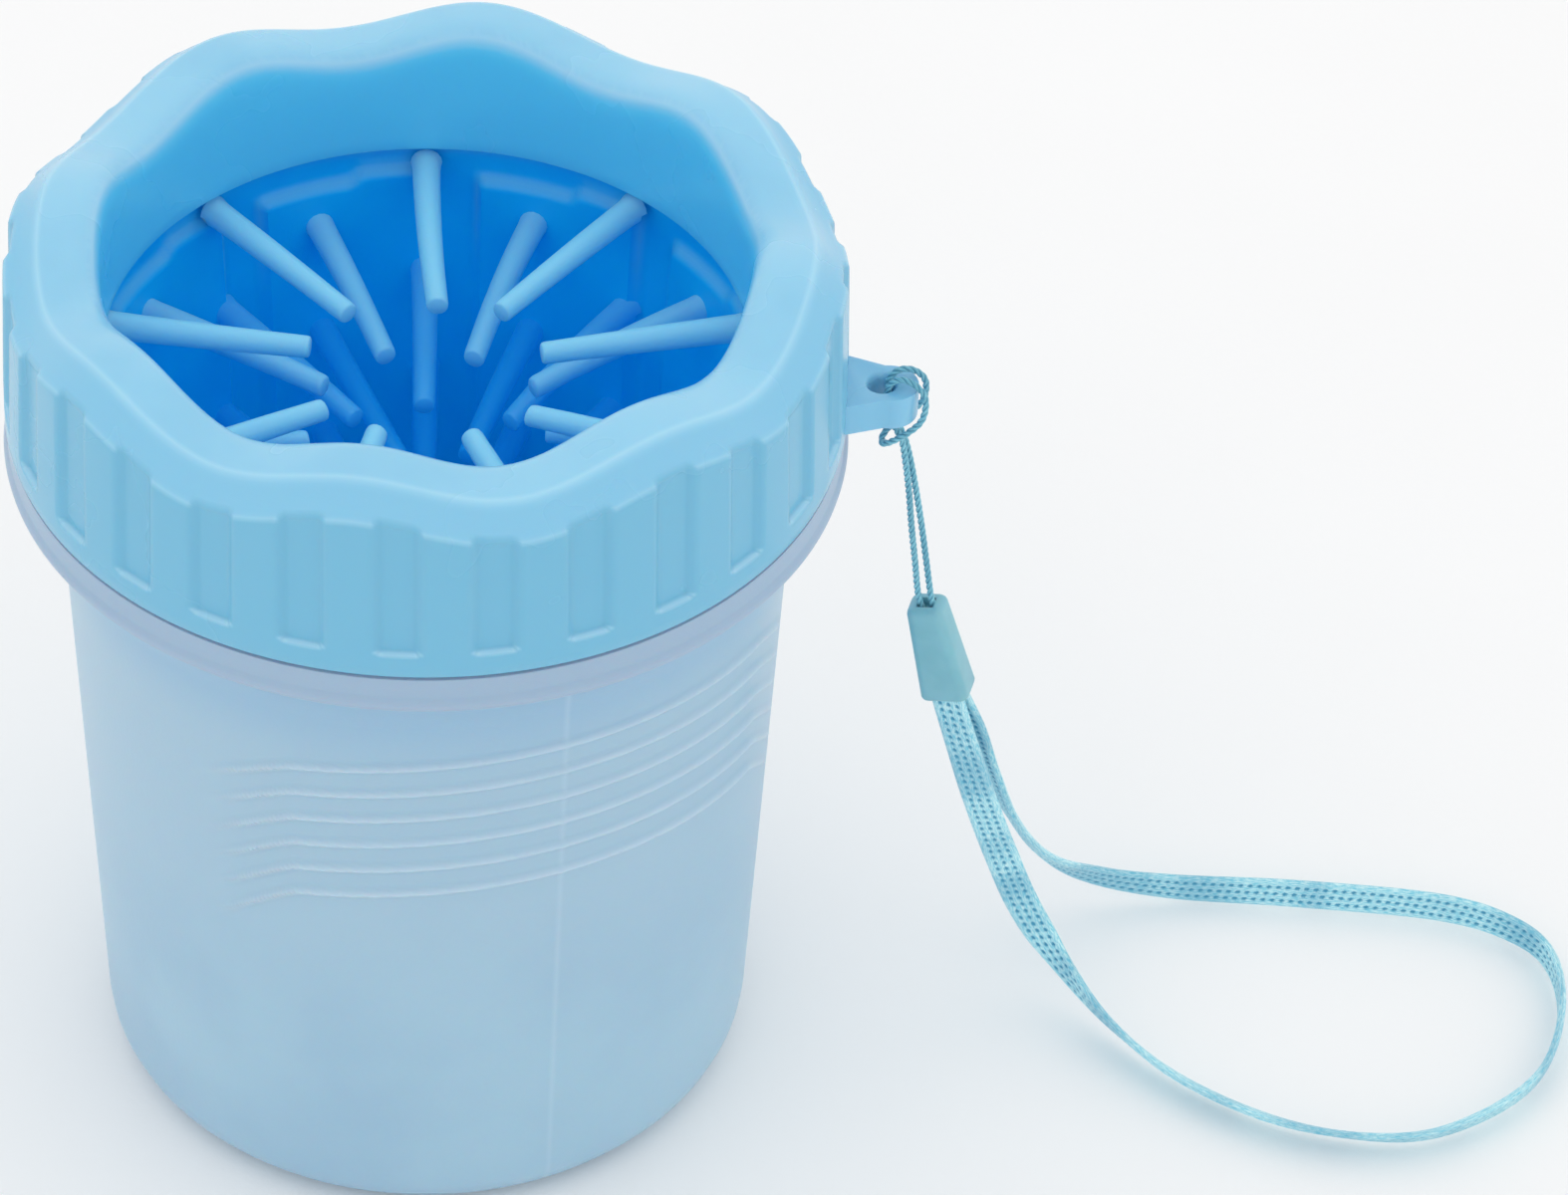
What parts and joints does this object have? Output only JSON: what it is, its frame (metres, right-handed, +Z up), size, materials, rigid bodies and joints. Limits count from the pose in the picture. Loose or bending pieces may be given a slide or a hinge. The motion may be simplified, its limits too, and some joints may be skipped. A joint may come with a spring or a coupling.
{
  "type": "paw washer cup",
  "caption": "Frosted cup with a wavy screw-on lid ring, a silicone brush sleeve inside and a wrist strap on the lid's eyelet.",
  "frame": {"origin": "centre of the cup's flat base, on the surface it stands on", "axes": "+Z up along the cup's axis, out of the mouth; +X from the axis through the lid's eyelet, where the strap hangs; +Y to the far side"},
  "size_m": [0.184, 0.0938, 0.1163],
  "materials": {
    "cup_frosted": "frosted translucent polypropylene, satin outside",
    "brush_silicone": "moulded silicone, soft satin",
    "lid_plastic": "moulded plastic, fine satin",
    "cord_twist": "twisted polyester cord",
    "bead_plastic": "moulded plastic, satin",
    "crimp_metal": "folded steel strip",
    "strap_weave": "flat woven polyester tape"
  },
  "bodies": {
    "cup": {"cup_body": "cup_frosted"},
    "brush": {"brush_sleeve": "brush_silicone"},
    "lid": {"lid_ring": "lid_plastic", "loop_cord": "cord_twist", "cord_bead": "bead_plastic", "strap_crimp": "crimp_metal", "wrist_strap": "strap_weave"}
  },
  "joints": [
    {"name": "brush_lift", "type": "slide", "parent": "cup", "child": "brush", "axis": [0, 0, 1], "range_m": [0, 0.0063]},
    {"name": "lid_turn", "type": "hinge", "parent": "brush", "child": "lid", "pos_m": [0, 0, 0.1], "axis": [0, 0, 1], "range_deg": [0, 450]}
  ],
  "couplings": [
    {"joint": "brush_lift", "follows": "lid_turn", "m_per_rad": 0.00079577}
  ]
}
